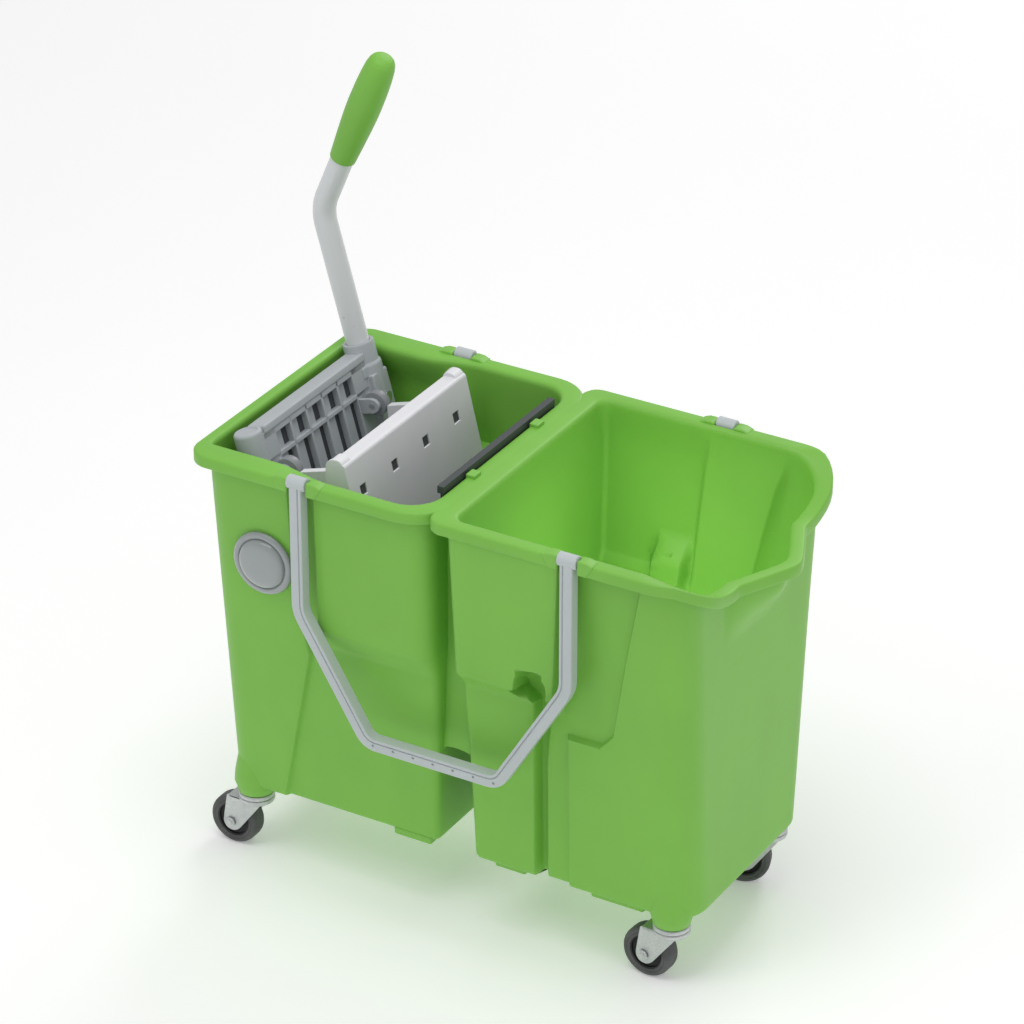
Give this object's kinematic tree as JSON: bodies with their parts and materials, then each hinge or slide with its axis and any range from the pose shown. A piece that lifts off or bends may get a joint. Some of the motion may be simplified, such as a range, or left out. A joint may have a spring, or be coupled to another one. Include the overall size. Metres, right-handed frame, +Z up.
{
  "type": "mop bucket with wringer",
  "caption": "Twin-compartment moulded mop bucket on swivel castors, with a lever-operated side-press wringer, a pouring spout and two bail handles.",
  "frame": {"origin": "on the floor, under the middle of the assembly's length and depth", "axes": "+X from the wringer compartment towards the spout, +Y to the back, +Z up"},
  "size_m": [0.5576, 0.3018, 0.7414],
  "materials": {
    "green_plastic": "satin moulded polypropylene with a fine grain",
    "grey_plastic": "satin moulded plastic",
    "light_grey_plastic": "satin moulded plastic",
    "grey_gloss": "glossy moulded plastic",
    "dark_plastic": "anthracite moulded plastic",
    "roller_plastic": "dark grey moulded plastic",
    "grey_paint": "light grey powder coat",
    "zinc": "bright zinc plate",
    "steel": "drawn steel",
    "grey_rubber": "grey rubber",
    "black_plastic": "black moulded plastic"
  },
  "bodies": {
    "base": {"bucket_body": "green_plastic", "pivot_bush_front": "dark_plastic", "pivot_bush_back": "dark_plastic", "pivot_cap_front": "grey_gloss", "pivot_cap_back": "grey_gloss", "press_hinge_rod": "steel", "strainer": "dark_plastic", "castor_fl_stem": "zinc", "castor_bl_stem": "zinc", "castor_fr_stem": "zinc", "castor_br_stem": "zinc"},
    "bail_front": {"bail_front": "grey_plastic"},
    "bail_back": {"bail_back": "grey_plastic"},
    "lever": {"pivot_shaft": "steel", "lever_carrier": "grey_plastic", "lever_tube": "grey_paint", "lever_grip": "green_plastic", "lever_bolt": "zinc", "roller_pin_front": "steel", "roller_pin_back": "steel"},
    "press": {"press_plate": "light_grey_plastic"},
    "roller_front": {"roller_front": "roller_plastic"},
    "roller_back": {"roller_back": "roller_plastic"},
    "fork_fl": {"castor_fl_fork": "zinc", "castor_fl_axle": "zinc", "castor_fl_nut": "zinc"},
    "wheel_fl": {"castor_fl_tyre": "grey_rubber", "castor_fl_hub": "black_plastic"},
    "fork_bl": {"castor_bl_fork": "zinc", "castor_bl_axle": "zinc", "castor_bl_nut": "zinc"},
    "wheel_bl": {"castor_bl_tyre": "grey_rubber", "castor_bl_hub": "black_plastic"},
    "fork_fr": {"castor_fr_fork": "zinc", "castor_fr_axle": "zinc", "castor_fr_nut": "zinc"},
    "wheel_fr": {"castor_fr_tyre": "grey_rubber", "castor_fr_hub": "black_plastic"},
    "fork_br": {"castor_br_fork": "zinc", "castor_br_axle": "zinc", "castor_br_nut": "zinc"},
    "wheel_br": {"castor_br_tyre": "grey_rubber", "castor_br_hub": "black_plastic"}
  },
  "joints": [
    {"name": "bail_front_swing", "type": "hinge", "parent": "base", "child": "bail_front", "pos_m": [-0.0063, -0.1445, 0.4349], "axis": [-1, 0, 0], "range_deg": [0, 180]},
    {"name": "bail_back_swing", "type": "hinge", "parent": "base", "child": "bail_back", "pos_m": [-0.0063, 0.1445, 0.4349], "axis": [1, 0, 0], "range_deg": [0, 180]},
    {"name": "lever_swing", "type": "hinge", "parent": "base", "child": "lever", "pos_m": [-0.19, 0, 0.336], "axis": [0, 1, 0], "range_deg": [0, 50]},
    {"name": "press_swing", "type": "hinge", "parent": "base", "child": "press", "pos_m": [-0.0835, 0, 0.24], "axis": [0, 1, 0], "range_deg": [0, 20]},
    {"name": "roller_front_spin", "type": "hinge", "parent": "lever", "child": "roller_front", "pos_m": [-0.19787, -0.075, 0.40237], "axis": [0, 1, 0], "continuous": true},
    {"name": "roller_back_spin", "type": "hinge", "parent": "lever", "child": "roller_back", "pos_m": [-0.19787, 0.075, 0.40237], "axis": [0, 1, 0], "continuous": true},
    {"name": "castor_fl_swivel", "type": "hinge", "parent": "base", "child": "fork_fl", "pos_m": [-0.2316, -0.0939, 0.054], "axis": [0, 0, 1], "continuous": true},
    {"name": "castor_fl_spin", "type": "hinge", "parent": "fork_fl", "child": "wheel_fl", "pos_m": [-0.2536, -0.0939, 0.025], "axis": [0, -1, 0], "continuous": true},
    {"name": "castor_bl_swivel", "type": "hinge", "parent": "base", "child": "fork_bl", "pos_m": [-0.2316, 0.0939, 0.054], "axis": [0, 0, 1], "continuous": true},
    {"name": "castor_bl_spin", "type": "hinge", "parent": "fork_bl", "child": "wheel_bl", "pos_m": [-0.25312, 0.09847, 0.025], "axis": [-0.2079, -0.9781, 0], "continuous": true},
    {"name": "castor_fr_swivel", "type": "hinge", "parent": "base", "child": "fork_fr", "pos_m": [0.2116, -0.0939, 0.054], "axis": [0, 0, 1], "continuous": true},
    {"name": "castor_fr_spin", "type": "hinge", "parent": "fork_fr", "child": "wheel_fr", "pos_m": [0.18965, -0.09237, 0.025], "axis": [-0.0698, -0.9976, 0], "continuous": true},
    {"name": "castor_br_swivel", "type": "hinge", "parent": "base", "child": "fork_br", "pos_m": [0.2116, 0.0939, 0.054], "axis": [0, 0, 1], "continuous": true},
    {"name": "castor_br_spin", "type": "hinge", "parent": "fork_br", "child": "wheel_br", "pos_m": [0.19093, 0.08638, 0.025], "axis": [0.342, -0.9397, 0], "continuous": true}
  ],
  "couplings": [
    {"joint": "press_swing", "follows": "lever_swing", "ratio": 0.4}
  ]
}
